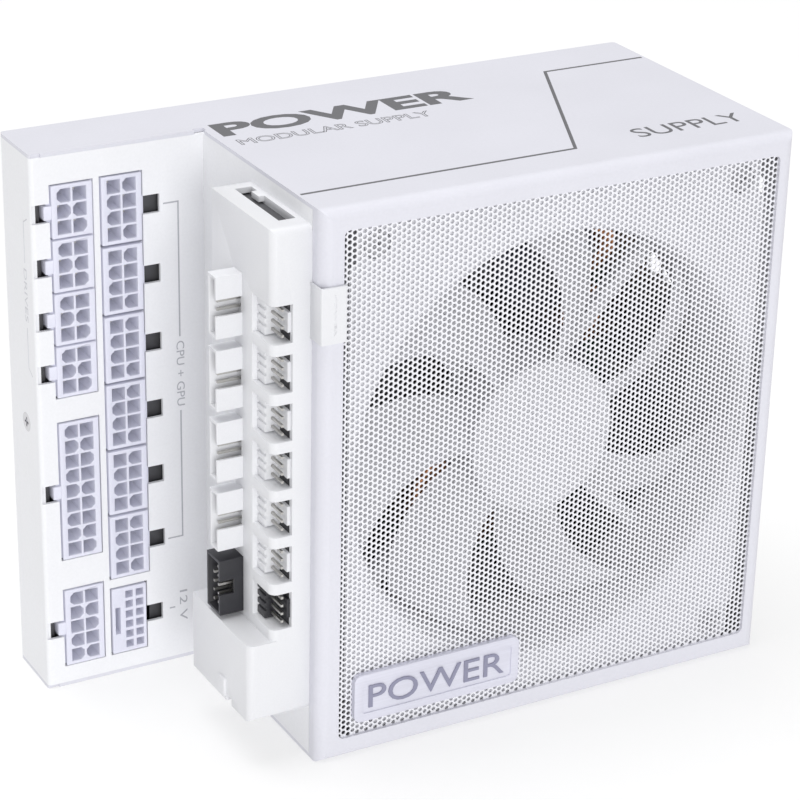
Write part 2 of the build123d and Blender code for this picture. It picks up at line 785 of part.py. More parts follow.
def end_block_solid(screw):
    """Threaded block that the end screw pulls against the end wall."""
    x0 = x_left + sheet
    y = y_panel + end_screw_y
    z = case_height / 2
    block = box(
        x0, x0 + end_block[0], y - end_block[1] / 2, plug_board_y0,
        z - end_block[2] / 2, z + end_block[2] / 2,
    )
    return block - screw


def end_screw():
    y = y_panel + end_screw_y
    z = case_height / 2
    head = Pos(x_left + sheet / 2, y, z) * (Rot(0, 90, 0) * Cone(end_screw_head, end_screw_radius, sheet))
    shank = rod_x(end_screw_radius, y, z, x_left + sheet, x_left + end_screw_length)
    recess = prism_x(Pos(y, z) * cross(*end_screw_cross), x_left - 1, x_left + sheet / 2)
    return head + shank - recess


# ================================================================ mains inlet and switch
def ac_inlet():
    """Three-pin appliance inlet, with its flange outside the wall and its body inside."""
    body = box(
        x_right - inlet_length, x_right,
        inlet_y - inlet_body[0] / 2, inlet_y + inlet_body[0] / 2,
        inlet_z - inlet_body[1] / 2, inlet_z + inlet_body[1] / 2,
    )
    rim = Pos(inlet_y, inlet_z) * RectangleRounded(inlet_flange[0], inlet_flange[1], 2)
    body += prism_x(rim, x_right, x_right + inlet_flange[2])
    outline = Rectangle(*inlet_cavity)
    keyed = outline.vertices().filter_by(lambda vertex: vertex.X < 0)
    outline = Pos(inlet_y, inlet_z) * chamfer(keyed, inlet_cavity_corner)
    cavity = prism_x(outline, x_right - inlet_cavity_depth, x_right + inlet_flange[2] + 1)
    body -= cavity
    for pin in inlet_pins():
        body -= pin
    return body


def inlet_pin_places():
    return [
        (inlet_y - inlet_pin_offset, inlet_z),
        (inlet_y + inlet_pin_offset, inlet_z - inlet_pin_spacing),
        (inlet_y + inlet_pin_offset, inlet_z + inlet_pin_spacing),
    ]


def inlet_pins():
    """Earth, live and neutral blades, with their solder tabs behind the inlet."""
    half_y = inlet_pin[0] / 2
    half_z = inlet_pin[1] / 2
    pins = []
    for y, z in inlet_pin_places():
        x1 = x_right - inlet_pin_setback
        x0 = x_right - inlet_length - inlet_tab_length
        pins.append(box(x0, x1, y - half_y, y + half_y, z - half_z, z + half_z))
    return pins


def switch_housing():
    body = box(
        x_right - switch_length, x_right,
        inlet_y - switch_body[0] / 2, inlet_y + switch_body[0] / 2,
        switch_z - switch_body[1] / 2, switch_z + switch_body[1] / 2,
    )
    rim = Pos(inlet_y, switch_z) * RectangleRounded(switch_flange[0], switch_flange[1], 1)
    body += prism_x(rim, x_right, x_right + switch_flange[2])
    wall = switch_wall
    body -= box(
        x_right - switch_length + wall, x_right + switch_flange[2] + 1,
        inlet_y - switch_body[0] / 2 + wall, inlet_y + switch_body[0] / 2 - wall,
        switch_z - switch_body[1] / 2 + wall, switch_z + switch_body[1] / 2 - wall,
    )
    bore = Rot(90, 0, 0) * Cylinder(pivot_radius + pivot_clearance, switch_body[0] + 2)
    body -= Pos(rocker_x, inlet_y, switch_z) * bore
    return body


def switch_rocker():
    """Rocker with a shallow V on top, round flanks about its pivot, and two pivot pins."""
    crown = rocker_crown
    edge = rocker_radius
    dip = edge * sin(radians(rocker_tilt))
    profile = Polyline(
        (-rocker_root, -edge), (-rocker_root, edge), (crown, edge), (crown - dip, 0), (crown, -edge),
        close=True,
    )
    # the profile is drawn as (out of the wall, up) and turned level with X and Z
    slab = extrude(Plane.XZ * make_face(profile), amount=rocker_width / 2, both=True)
    flanks = Rot(90, 0, 0) * Cylinder(edge, rocker_width)
    pins = Rot(90, 0, 0) * Cylinder(pivot_radius, switch_body[0] - 0.6)
    rocker = (slab & flanks) + pins
    return Pos(rocker_x, inlet_y, switch_z) * (Rot(0, rocker_tilt, 0) * rocker)


# ================================================================ header hub
def hub_window_places():
    """Top and bottom of each front header window, from the top down."""
    tops = [hub_z1 - window_first_drop - step * hub_window_pitch for step in range(window_count)]
    return [(top - hub_window_height, top) for top in tops]


def side_header_places():
    tops = [hub_z1 - side_header_drop - step * side_header_pitch for step in range(side_header_count)]
    return [(top - side_header[2], top) for top in tops]


def hub_cover():
    """Plastic box on the step wall, with header windows, side openings and a cable slot."""
    body = box(hub_x0, x_step, hub_y0, hub_y1, hub_z0, hub_z1)
    body += box(
        hub_x0 - foot_block_extra, x_step, hub_y0, hub_y1, hub_z0, hub_z0 + foot_block_height
    )
    outer = body.edges().filter_by(lambda edge: edge.center().X < x_step - 0.1)
    front = outer.filter_by(lambda edge: abs(edge.center().Y - hub_y0) < 0.01)
    body = fillet(front.filter_by(lambda edge: edge.length > hub_edge * 4), hub_edge)
    wall = hub_wall
    back_z0 = hub_z0 + wall
    body -= box(
        hub_board_x0 - 0.1, x_step + 1, hub_y0 + wall, hub_y1 - wall, back_z0, hub_z1 - wall
    )
    body -= box(
        hub_x0 + wall, x_step + 1, hub_y0 + hub_window_depth + wall, hub_y1 - wall,
        back_z0, hub_z1 - wall,
    )
    for z0, z1 in hub_window_places():
        body -= box(
            hub_x0 - foot_block_extra - 1, hub_board_x0, hub_y0 - 1, hub_y0 + hub_window_depth, z0, z1
        )
    header_y = hub_y0 + side_header_y
    for z0, z1 in side_header_places():
        body -= box(
            hub_x0 - 1, hub_x0 + wall + 1, header_y, header_y + side_header[1], z0, z1
        )
    box_z0 = hub_z0 + box_header_foot
    body -= box(
        hub_x0 - 1, hub_x0 + wall + 1, header_y, header_y + box_header[1],
        box_z0, box_z0 + box_header[2],
    )
    slot_x1 = x_step - slot_wall
    slot_y0 = hub_y0 + slot_front
    body -= box(
        slot_x1 - slot_width, slot_x1, slot_y0, slot_y0 + slot_length, hub_z1 - wall - 1, hub_z1 + 1
    )
    tooth_y = slot_y0 + slot_length * 0.7
    body += box(
        slot_x1 - slot_tooth[0], slot_x1, tooth_y, tooth_y + slot_tooth[1], hub_z1 - wall, hub_z1
    )
    notch_y = hub_y0 + hub_notch[0]
    body -= box(
        hub_x0 - foot_block_extra - 1, hub_x0, notch_y, notch_y + hub_notch[1],
        hub_z0 - 1, hub_z0 + hub_notch[2],
    )
    nub_y = notch_y + hub_notch[1] + nub_width / 2
    nub = Pos(hub_x0 - foot_block_extra, nub_y, hub_z0 + nub_height / 2 + 1.3) * Box(
        2 * nub_reach, nub_width, nub_height
    )
    return body + nub


def hub_base():
    """Back plate of the hub, against the case's step wall."""
    wall = hub_wall
    plate = box(
        hub_base_x0, x_step, hub_y0 + wall, hub_y1 - wall, hub_z0 + wall, hub_z1 - wall
    )
    for magnet in hub_magnets():
        plate -= magnet
    return plate


def hub_magnets():
    middle = (hub_z0 + hub_z1) / 2
    y = hub_y0 + hub_depth / 2
    return [
        rod_x(magnet_radius, y, middle + side * magnet_spacing / 2, hub_base_x0, x_step)
        for side in (-1, 1)
    ]


def hub_board():
    wall = hub_wall
    lowest = hub_z0 + wall + 2
    highest = hub_z1 - window_first_drop + 2
    return box(
        hub_board_x0, hub_board_x1, hub_y0 + wall + 0.5, hub_y1 - wall - 0.5, lowest, highest
    )


def front_header_rows(z0, z1):
    """Heights of a front header's four pins."""
    middle = (z0 + z1) / 2
    return [middle + (step - 1.5) * hub_pin_pitch for step in range(4)]


def front_header(z0, z1):
    """Pin header on the hub board: a block at the back and a locking wall beside the pins."""
    x0 = hub_x0 + front_header_recess
    y1 = hub_y0 + hub_window_depth
    y0 = y1 - front_header_base[1]
    body = box(x0, x0 + front_header_base[0], y0, y1, z0 + header_gap, z1 - header_gap)
    body += box(x0, hub_board_x0, y0 + 1, y1, z0 + header_gap, z1 - header_gap)
    depth, height = front_groove
    rows = front_header_rows(z0, z1)
    for lower, upper in zip(rows, rows[1:]):
        groove_z0 = (lower + upper - height) / 2
        body -= box(x0 - 1, x0 + depth, y0 - 1, y1 + 1, groove_z0, groove_z0 + height)
    middle = (z0 + z1) / 2
    body += box(
        hub_board_x0 - front_lock[0], hub_board_x0, hub_y0 + front_header_inset, y1,
        middle - front_lock[1] / 2, middle + front_lock[1] / 2,
    )
    return body


def front_header_pins(z0, z1):
    x = hub_x0 + front_header_recess + front_header_base[0] / 2
    half = hub_pin_size / 2
    y0 = hub_y0 + front_header_inset
    y1 = hub_y0 + hub_window_depth - 1
    return [box(x - half, x + half, y0, y1, z - half, z + half) for z in front_header_rows(z0, z1)]


def side_header_body(z0, z1):
    """Box header that reaches out of the hub's left wall, with a slot in its front side."""
    x0 = hub_x0 - side_header[0]
    y0 = hub_y0 + side_header_y
    y1 = y0 + side_header[1]
    wall = header_wall
    floor_x = hub_x0 + side_header_floor
    body = box(x0, hub_board_x0, y0, y1, z0, z1)
    body -= box(x0 - 1, floor_x, y0 + wall, y1 - wall, z0 + wall, z1 - wall)
    middle = (z0 + z1) / 2
    half_slot = side_slot_height / 2
    body -= box(x0 - 1, hub_x0, y0 - 1, y0 + wall + 0.1, middle - half_slot, middle + half_slot)
    return body


def pin_grid(x0, x1, y_places, z_places):
    half = hub_pin_size / 2
    return [
        box(x0, x1, y - half, y + half, z - half, z + half) for y in y_places for z in z_places
    ]


def side_header_pins(z0, z1):
    x0 = hub_x0 - side_header[0] + side_pin_setback
    y = hub_y0 + side_header_y + side_header[1] / 2
    middle = (z0 + z1) / 2
    z_places = [middle + (step - 2.5) * hub_pin_pitch for step in range(6)]
    return pin_grid(x0, hub_board_x0, [y], z_places)


def box_header_body():
    """Black nine-pin header in the hub's left wall, with a key notch in its front side."""
    x0 = hub_x0 - box_header[0]
    y0 = hub_y0 + side_header_y
    z0 = hub_z0 + box_header_foot
    wall = header_wall
    y1 = y0 + box_header[1]
    z1 = z0 + box_header[2]
    body = box(x0, hub_board_x0, y0, y1, z0, z1)
    body -= box(x0 - 1, hub_x0 - 1, y0 + wall, y1 - wall, z0 + wall, z1 - wall)
    middle = (z0 + z1) / 2
    half = box_notch[1] / 2
    body -= box(x0 - 1, x0 + box_notch[0], y0 - 1, y0 + wall + 0.1, middle - half, middle + half)
    return body


def box_header_pins():
    x0 = hub_x0 - box_header[0] + box_pin_setback
    y = hub_y0 + side_header_y + box_header[1] / 2
    middle = hub_z0 + box_header_foot + box_header[2] / 2
    z_places = [middle + (step - 2) * box_pin_pitch for step in range(5)]
    half = box_pin_pitch / 2
    pins = pin_grid(x0, hub_board_x0, [y - half], z_places)
    return pins + pin_grid(x0, hub_board_x0, [y + half], z_places[:-1])


def hub_clip():
    """Thin plate over the case's rounded edge that hooks the hub to the fan face."""
    z1 = hub_z1 - clip_drop
    z0 = z1 - clip_height
    y0 = y_front - clip_gap - clip_thickness
    plate = box(x_step - clip_back, x_step + clip_reach, y0, y0 + clip_thickness, z0, z1)
    leg = box(x_step - clip_back, x_step - clip_gap, y0, hub_y0, z0, z1)
    clip = plate + leg
    outer = clip.edges().filter_by(Axis.Z).filter_by(lambda edge: edge.center().Y < y0 + 0.1)
    return fillet(outer, clip_thickness * 0.6)


# ================================================================ inside the case
def board_box():
    """X and Z limits of the main board, and the Y of its two faces."""
    y1 = y_back - sheet - standoff_height
    return (
        x_step + sheet + board_margin, x_right - sheet - board_margin,
        y1 - board_thickness, y1,
        sheet + board_margin, case_height - sheet - board_margin,
    )


def standoff_places():
    x0, x1, y0, y1, z0, z1 = board_box()
    return [
        (x, z)
        for x in (x0 + standoff_inset, x1 - standoff_inset)
        for z in (z0 + standoff_inset, z1 - standoff_inset)
    ]


def main_board():
    board = box(*board_box())
    for x, z in standoff_places():
        board -= rod_y(standoff_screw_radius, x, z, y_front, y_back)
    return board


def standoffs():
    """Four pillars with their screws, from the back wall through the main board."""
    x0, x1, y0, y1, z0, z1 = board_box()
    pillars = []
    for x, z in standoff_places():
        pillar = rod_y(standoff_radius, x, z, y1, y_back - sheet)
        pillar += rod_y(standoff_screw_radius, x, z, y0, y1)
        pillar += rod_y(standoff_radius, x, z, y0 - standoff_screw_head, y0)
        pillars.append(pillar)
    return pillars


def insulating_sheet():
    """Thin plastic sheet between the back wall and the main board's solder side."""
    x0, x1, y0, y1, z0, z1 = board_box()
    layer = box(x0, x1, y_back - sheet - insulation, y_back - sheet, z0, z1)
    for x, z in standoff_places():
        layer -= rod_y(standoff_radius, x, z, y_front, y_back)
    return layer


def on_board(x_share, z_share):
    """A point on the main board, as shares of its length and height."""
    x0, x1, y0, y1, z0, z1 = board_box()
    return x0 + x_share * (x1 - x0), y0, z0 + z_share * (z1 - z0)


def upright_can(x_share, z_share, radius, height):
    """Capacitor can standing on the main board, with a groove near its foot."""
    x, y, z = on_board(x_share, z_share)
    can = rod_y(radius, x, z, y - height, y)
    can = fillet(can.edges().sort_by(Axis.Y)[0], min(1.5, radius / 4))
    groove = tube_y(radius + 1, radius - 0.6, x, z, y - 3.6, y - 2.4)
    return can - groove


def board_block(x_share, z_share, length, height, tall):
    x, y, z = on_board(x_share, z_share)
    return box(x - length / 2, x + length / 2, y - tall, y, z - height / 2, z + height / 2)


def bulk_capacitors():
    return [upright_can(0.628, z_share, 15, tallest_part) for z_share in (0.76, 0.52)]


def output_capacitors():
    return [upright_can(0.06, 0.18 + 0.11 * step, 5, 22) for step in range(6)]


def toroid(x_share, z_share, radius, hole, tall):
    x, y, z = on_board(x_share, z_share)
    ring = tube_y(radius, hole, x, z, y - tall, y)
    return fillet(ring.edges().filter_by(GeomType.CIRCLE), min(3, (radius - hole) / 4))


def pfc_choke():
    return toroid(0.55, 0.211, 17, 7, 22)


def emi_chokes():
    return [toroid(0.88, z_share, 8.5, 3.5, 16) for z_share in (0.53, 0.676)]


def film_capacitors():
    return [board_block(0.88, 0.83, 17, 12, 20), board_block(0.76, 0.93, 18, 9, 18)]


def transformer():
    """Main transformer: ferrite core round a taped winding."""
    winding = board_block(0.33, 0.5, 26, 34, 32)
    x, y, z = on_board(0.33, 0.5)
    winding += box(x - 19, x + 19, y - 26, y - 6, z - 11, z + 11)
    return winding


def heatsinks():
    """Three finned plates that stand on the main board between the components."""
    plates = []
    for x_share, z_share, length, tall in (
        (0.204, 0.845, 30, 40), (0.22, 0.155, 30, 40), (0.416, 0.76, 22, 42)
    ):
        x, y, z = on_board(x_share, z_share)
        plate = box(x - length / 2, x + length / 2, y - tall, y, z - 1.5, z + 1.5)
        fins = int(length / 4)
        for fin in range(fins + 1):
            fin_x = x - length / 2 + 0.6 + fin * (length - 1.2) / fins
            plate += box(fin_x - 0.6, fin_x + 0.6, y - tall, y - 12, z - 8, z + 8)
        plates.append(plate)
    return plates


def inlet_wiring():
    """Three insulated wires from the inlet's solder tabs down to the main board."""
    wires = []
    board_y = board_box()[2]
    for y, z in inlet_pin_places():
        x = x_right - inlet_length - inlet_tab_length
        bend_x = x - 9
        path = FilletPolyline((x, y, z), (bend_x, y, z), (bend_x, board_y, z), radius=5)
        wires.append(sweep(Plane(path @ 0, z_dir=path % 0) * Circle(1.1), path))
    return wires


# ================================================================ files
def write(name, shape):
    if isinstance(shape, list):
        shape = Compound(children=[solid for part in shape for solid in part.solids()])
    export_step(shape, "parts/" + name + ".step")


def main():
    os.makedirs("parts", exist_ok=True)
    sockets = all_sockets()
    shell = case_shell()
    screws = cover_screws()
    bolt = end_screw()
    windows = hub_window_places()
    white_windows = windows[:-1]
    black_window = windows[-1]

    write("fan_cover", fan_cover(shell, screws))
    write("chassis_base", chassis_base(shell, sockets))
    write("fan_grille", fan_grille())
    write("badge_plate", badge_plate())
    write("cover_screws", screws)

    write("fan_frame", fan_frame())
    write("fan_rotor", fan_rotor())
    write("fan_shaft", fan_shaft())
    write("fan_magnet", fan_magnet())
    write("fan_bearing", fan_bearing())
    write("fan_stator", fan_stator())
    write("fan_board", fan_board())
    write("fan_screws", fan_screws())
    write("fan_brackets", fan_brackets())

    for socket in sockets:
        write(socket["name"], socket["solid"])
    write("socket_pins", [pin for socket in sockets for pin in socket["pins"]])
    write("connector_board", connector_board())
    write("end_screw", bolt)
    write("end_block", end_block_solid(bolt))

    write("ac_inlet", ac_inlet())
    write("inlet_pins", inlet_pins())
    write("switch_housing", switch_housing())
    write("switch_rocker", switch_rocker())

    hub_pins = box_header_pins()
    write("hub_cover", hub_cover())
    write("hub_base", hub_base())
    write("hub_magnets", hub_magnets())
    write("hub_board", hub_board())
    write("hub_clip", hub_clip())
    for number, (z0, z1) in enumerate(side_header_places(), start=1):
        pins = side_header_pins(z0, z1)
        write("side_header_" + str(number), side_header_body(z0, z1) - pins)
        hub_pins += pins
    write("usb_header", box_header_body() - box_header_pins())
    headers = []
    for z0, z1 in white_windows:
        pins = front_header_pins(z0, z1)
        headers.append(front_header(z0, z1) - pins)
        hub_pins += pins
    write("front_headers", headers)
    pins = front_header_pins(*black_window)
    write("black_header", front_header(*black_window) - pins)
    write("hub_pins", hub_pins + pins)

    write("main_board", main_board())
    write("standoffs", standoffs())
    write("insulating_sheet", insulating_sheet())
    write("bulk_capacitors", bulk_capacitors())
    write("output_capacitors", output_capacitors())
    write("pfc_choke", pfc_choke())
    write("emi_chokes", emi_chokes())
    write("film_capacitors", film_capacitors())
    write("transformer", transformer())
    write("heatsinks", heatsinks())
    write("inlet_wiring", inlet_wiring())


main()
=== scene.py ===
# %% [markdown]
# # A modular power supply, piece by piece
# The measured model of the supply comes in first, as a fixed frame of named parts.
# It could be modelled again from nothing here, but then its sizes would have to be fitted twice.
# So every piece below takes its place from those parts, and only adds shape and finish to them.

import json
from math import radians, sqrt

import bmesh
import bpy
from mathutils import Matrix, Vector

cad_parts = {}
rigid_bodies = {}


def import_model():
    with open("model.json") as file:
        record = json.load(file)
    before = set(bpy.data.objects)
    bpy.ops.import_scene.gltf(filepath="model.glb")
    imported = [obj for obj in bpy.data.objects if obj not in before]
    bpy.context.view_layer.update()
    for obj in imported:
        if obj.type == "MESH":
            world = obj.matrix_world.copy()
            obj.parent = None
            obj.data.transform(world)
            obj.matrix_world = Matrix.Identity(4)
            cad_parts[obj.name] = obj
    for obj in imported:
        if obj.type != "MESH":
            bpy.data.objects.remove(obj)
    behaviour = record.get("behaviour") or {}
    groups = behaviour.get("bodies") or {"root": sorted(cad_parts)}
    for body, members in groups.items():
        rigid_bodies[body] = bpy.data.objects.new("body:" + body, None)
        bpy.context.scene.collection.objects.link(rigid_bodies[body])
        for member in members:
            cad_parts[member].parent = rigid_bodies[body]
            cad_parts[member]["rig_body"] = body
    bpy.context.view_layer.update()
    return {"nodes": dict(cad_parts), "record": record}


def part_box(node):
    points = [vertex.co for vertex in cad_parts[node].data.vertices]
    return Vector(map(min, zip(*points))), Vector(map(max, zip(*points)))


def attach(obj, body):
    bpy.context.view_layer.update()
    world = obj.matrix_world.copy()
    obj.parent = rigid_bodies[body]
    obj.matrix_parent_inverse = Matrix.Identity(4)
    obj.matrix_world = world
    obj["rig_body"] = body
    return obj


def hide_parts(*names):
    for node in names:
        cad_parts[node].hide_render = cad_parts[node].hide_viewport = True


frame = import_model()
MM = 0.001

# %% [markdown]
# ## Camera
# A long lens looks down at the corner between the plug panel and the fan.
# A camera could be aimed with a constraint, but three unit vectors are plainer: they say which way
# is right, up and back for the camera, and a slight roll comes along with them.

# %% Camera
LENS = 121.98
SENSOR = 36.0
camera_place = Vector((-0.31540, -0.56727, 0.37035))
camera_right = Vector((0.87747, -0.47920, 0.02028))
camera_up = Vector((0.18184, 0.37150, 0.91045))
camera_back = camera_right.cross(camera_up)

lens = bpy.data.cameras.new("camera")
lens.lens = LENS
lens.sensor_width = SENSOR
camera = bpy.data.objects.new("camera", lens)
bpy.context.scene.collection.objects.link(camera)
camera.matrix_world = (
    Matrix.Translation(camera_place)
    @ Matrix((camera_right, camera_up, camera_back)).transposed().to_4x4()
)
bpy.context.scene.camera = camera
print("camera looks along", tuple(round(-v, 3) for v in camera_back))

# %% [markdown]
# ## Floor and studio light
# White goods are usually lit by a white room: light comes from everywhere and shadows are faint.
# Many lamps could copy that, but a plain white sky does it with no lamp edges in the reflections.
# Two large soft lamps are added: one for the top, and one nearly in front of the fan face, which
# also reaches deep into the recess with the sockets.
# The floor shines slightly by itself, which keeps it paler than anything that stands on it.

# %% Floor and studio light
FLOOR_SIZE = 6.0


def node(tree, kind, sockets=None, **settings):
    """A new node with its settings, and its inputs filled with values or with other outputs."""
    new = tree.nodes.new(kind)
    for name, value in settings.items():
        setattr(new, name, value)
    for key, value in (sockets or {}).items():
        if isinstance(value, bpy.types.NodeSocket):
            tree.links.new(value, new.inputs[key])
        else:
            new.inputs[key].default_value = value
    return new


def mesh_object(name, verts, faces):
    """A mesh object at the origin, from points in metres."""
    mesh = bpy.data.meshes.new(name)
    mesh.from_pydata(verts, [], faces)
    mesh.update()
    made = bpy.data.objects.new(name, mesh)
    bpy.context.scene.collection.objects.link(made)
    return made


def studio_lamp(name, place, target, size, power):
    """A square soft lamp, aimed at a point."""
    light = bpy.data.lights.new(name, "AREA")
    light.size = size
    light.energy = power
    lamp = bpy.data.objects.new(name, light)
    bpy.context.scene.collection.objects.link(lamp)
    lamp.location = place
    aim = Vector(target) - Vector(place)
    lamp.rotation_euler = aim.to_track_quat("-Z", "Y").to_euler()
    return lamp


scene = bpy.context.scene
scene.view_settings.view_transform = "Standard"
sky = bpy.data.worlds.new("white_room")
sky.use_nodes = True
sky.node_tree.nodes["Background"].inputs["Color"].default_value = (1.0, 1.0, 1.0, 1.0)
sky.node_tree.nodes["Background"].inputs["Strength"].default_value = 0.55
scene.world = sky

half = FLOOR_SIZE / 2
floor = mesh_object(
    "floor", [(-half, -half, 0), (half, -half, 0), (half, half, 0), (-half, half, 0)], [(0, 1, 2, 3)]
)
floor_paint = bpy.data.materials.new("floor_paint")
floor_paint.use_nodes = True
floor_shader = floor_paint.node_tree.nodes["Principled BSDF"]
floor_shader.inputs["Base Color"].default_value = (0.45, 0.45, 0.45, 1.0)
floor_shader.inputs["Roughness"].default_value = 0.9
floor_shader.inputs["Emission Color"].default_value = (1.0, 1.0, 1.0, 1.0)
floor_shader.inputs["Emission Strength"].default_value = 0.52
floor.data.materials.append(floor_paint)

studio_lamp("top_lamp", (-0.3, 0.3, 2.2), (0.0, 0.0, 0.07), 1.6, 30.0)
studio_lamp("front_lamp", (-0.5, -2.0, 0.5), (-0.06, 0.0, 0.07), 1.0, 18.0)
print("stage ready, floor", FLOOR_SIZE, "m wide")

# %% [markdown]
# ## Finishes
# Nearly everything on this supply is white, and what tells its parts apart is the finish:
# powder coat has a fine orange peel, moulded plastic a finer spark grain, metal a drawn or
# brushed line. A picture could be wrapped on each part, but noise in the part's own space needs
# no unwrapping and never repeats. One recipe mixes two noises: a slow one for the small drift in
# tone and gloss, and a fine one for the grain under the fingers. The cover's white is a little
# bluer than the chassis's, and also darker: that is painted shade, which keeps the front lamp from
# lighting the fan face brighter than the recess.

# %% One recipe for every finish
def finish(name, colour, rough, metal=0.0, drift=0.03, grain=1600.0, relief=0.25, stretch=(1, 1, 1)):
    """A material: tone and gloss drift slowly, and a fine grain lifts the surface."""
    material = bpy.data.materials.new(name)
    material.use_nodes = True
    tree = material.node_tree
    shader = tree.nodes["Principled BSDF"]
    shader.inputs["Metallic"].default_value = metal
    place = node(tree, "ShaderNodeTexCoord").outputs["Object"]
    drawn = node(tree, "ShaderNodeMapping", {"Vector": place, "Scale": stretch}).outputs[0]
    slow = node(tree, "ShaderNodeTexNoise", {"Vector": place, "Scale": 38.0, "Detail": 4.0}).outputs[0]
    fine = node(tree, "ShaderNodeTexNoise", {"Vector": drawn, "Scale": grain, "Detail": 3.0}).outputs[0]
    both = node(tree, "ShaderNodeMath", {0: slow, 1: fine}, operation="ADD").outputs[0]
    tone = node(
        tree, "ShaderNodeMapRange",
        {"Value": both, "From Min": 0.6, "From Max": 1.4, "To Min": 1 - drift, "To Max": 1 + drift},
    ).outputs[0]
    tinted = node(
        tree, "ShaderNodeVectorMath", {0: colour, "Scale": tone}, operation="SCALE"
    ).outputs[0]
    gloss = node(
        tree, "ShaderNodeMapRange",
        {"Value": both, "From Min": 0.6, "From Max": 1.4, "To Min": rough - 0.06, "To Max": rough + 0.06},
    ).outputs[0]
    bump = node(
        tree, "ShaderNodeBump", {"Height": fine, "Distance": 0.02 * MM, "Strength": relief}
    ).outputs[0]
    tree.links.new(tinted, shader.inputs["Base Color"])
    tree.links.new(gloss, shader.inputs["Roughness"])
    tree.links.new(bump, shader.inputs["Normal"])
    return material


powder_coat = finish("powder_coat", (0.83, 0.835, 0.86), 0.50, grain=1300.0, relief=0.5)
# The cover's coat is darker than the chassis coat as painted shade against the front lamp, and a little
# bluer as its own tint.
shaded_cover_coat = finish("shaded_cover_coat", (0.68, 0.68, 0.74), 0.48, grain=1300.0, relief=0.5)
mesh_paint = finish("mesh_paint", (0.81, 0.81, 0.85), 0.45, grain=1500.0, relief=0.2)
fan_plastic = finish("fan_plastic", (0.80, 0.80, 0.83), 0.42, grain=2600.0, relief=0.2)
hub_plastic = finish("hub_plastic", (0.74, 0.745, 0.77), 0.48, grain=3200.0, relief=0.4)
socket_plastic = finish("socket_plastic", (0.72, 0.725, 0.83), 0.38, grain=3000.0, relief=0.2)
black_plastic = finish("black_plastic", (0.022, 0.022, 0.027), 0.40, grain=2800.0, relief=0.4)
badge_metal = finish(
    "badge_metal", (0.68, 0.68, 0.77), 0.36, metal=0.35, drift=0.07, grain=2200.0, relief=0.5,
    stretch=(0.015, 1, 1),
)
print("finishes so far:", len(bpy.data.materials))

# %% [markdown]
# ## Finishes of what is inside
# Through the fan and the vents there are glimpses of a board, coils, cans and heatsinks.
# They could stay grey, since little is seen of them, but their colours are what makes the inside
# read as electronics. The same recipe does them all, from a short table.

# %% Finishes of what is inside
inside = {
    "bare_steel": ((0.60, 0.60, 0.62), 0.32, 0.9),
    "pin_metal": ((0.50, 0.49, 0.47), 0.34, 0.9),
    "board_green": ((0.02, 0.08, 0.05), 0.40, 0.0),
    "board_black": ((0.045, 0.045, 0.05), 0.42, 0.0),
    "magnet_dark": ((0.10, 0.10, 0.11), 0.55, 0.4),
    "copper": ((0.62, 0.27, 0.12), 0.34, 0.8),
    "bearing_bronze": ((0.55, 0.36, 0.17), 0.36, 0.9),
    "can_sleeve": ((0.05, 0.055, 0.08), 0.28, 0.0),
    "ferrite": ((0.09, 0.09, 0.10), 0.60, 0.0),
    # Darker than bare aluminium: painted shade of the inside of the case.
    "heatsink_aluminium": ((0.30, 0.31, 0.33), 0.42, 0.8),
    "film_yellow": ((0.62, 0.42, 0.05), 0.34, 0.0),
    # Dark grey rather than clear: painted shade of the inside of the case.
    "clear_film": ((0.20, 0.20, 0.19), 0.30, 0.0),
    "wire_sleeve": ((0.03, 0.03, 0.035), 0.50, 0.0),
}
coat = {
    "white_steel": powder_coat, "white_mesh": mesh_paint, "white_plastic": fan_plastic,
    "hub_plastic": hub_plastic, "socket_plastic": socket_plastic, "black_plastic": black_plastic,
    "badge_metal": badge_metal,
}
for slot_name, (colour, rough, metal) in inside.items():
    coat[slot_name] = finish(slot_name, colour, rough, metal, drift=0.10)

node_slot = {part["node"]: part["material_slot"] for part in frame["record"]["subparts"]}
for name, part in frame["nodes"].items():
    part.data.materials.clear()
    part.data.materials.append(shaded_cover_coat if name == "fan_cover" else coat[node_slot[name]])
print("finished parts:", len(node_slot))

# %% [markdown]
# ## The perforated grille
# The fan face is a steel sheet punched with thousands of small round holes in staggered columns,
# and painted white. Cutting them with booleans would take minutes, and a picture of holes would
# be flat from the side. Geometry Nodes suit it: points in a staggered grid, a small circle on each,
# all inside one outline, filled, and given a thickness. Thin metal hides less of each hole when
# it is seen from the side, so the strips are thinner than the plate that they stand for.
# The sheet is made as three strips, side by side, so that no mesh grows too heavy.

# %% The grille's node tree
HOLE_PITCH = 1.52 * MM
HOLE_DIAMETER = 1.18 * MM
GRILLE_SHEET = 0.3 * MM
GRILLE_MARGIN = 2.2 * MM   # plain metal left round the holes, both sides together
COLUMN_STEP = HOLE_PITCH * sqrt(3) / 2
HOLE_SIDES = 8
GRILLE_STRIPS = 3


def calc(tree, operation, *values):
    """One step of arithmetic inside a node tree."""
    return node(tree, "ShaderNodeMath", dict(enumerate(values)), operation=operation).outputs[0]


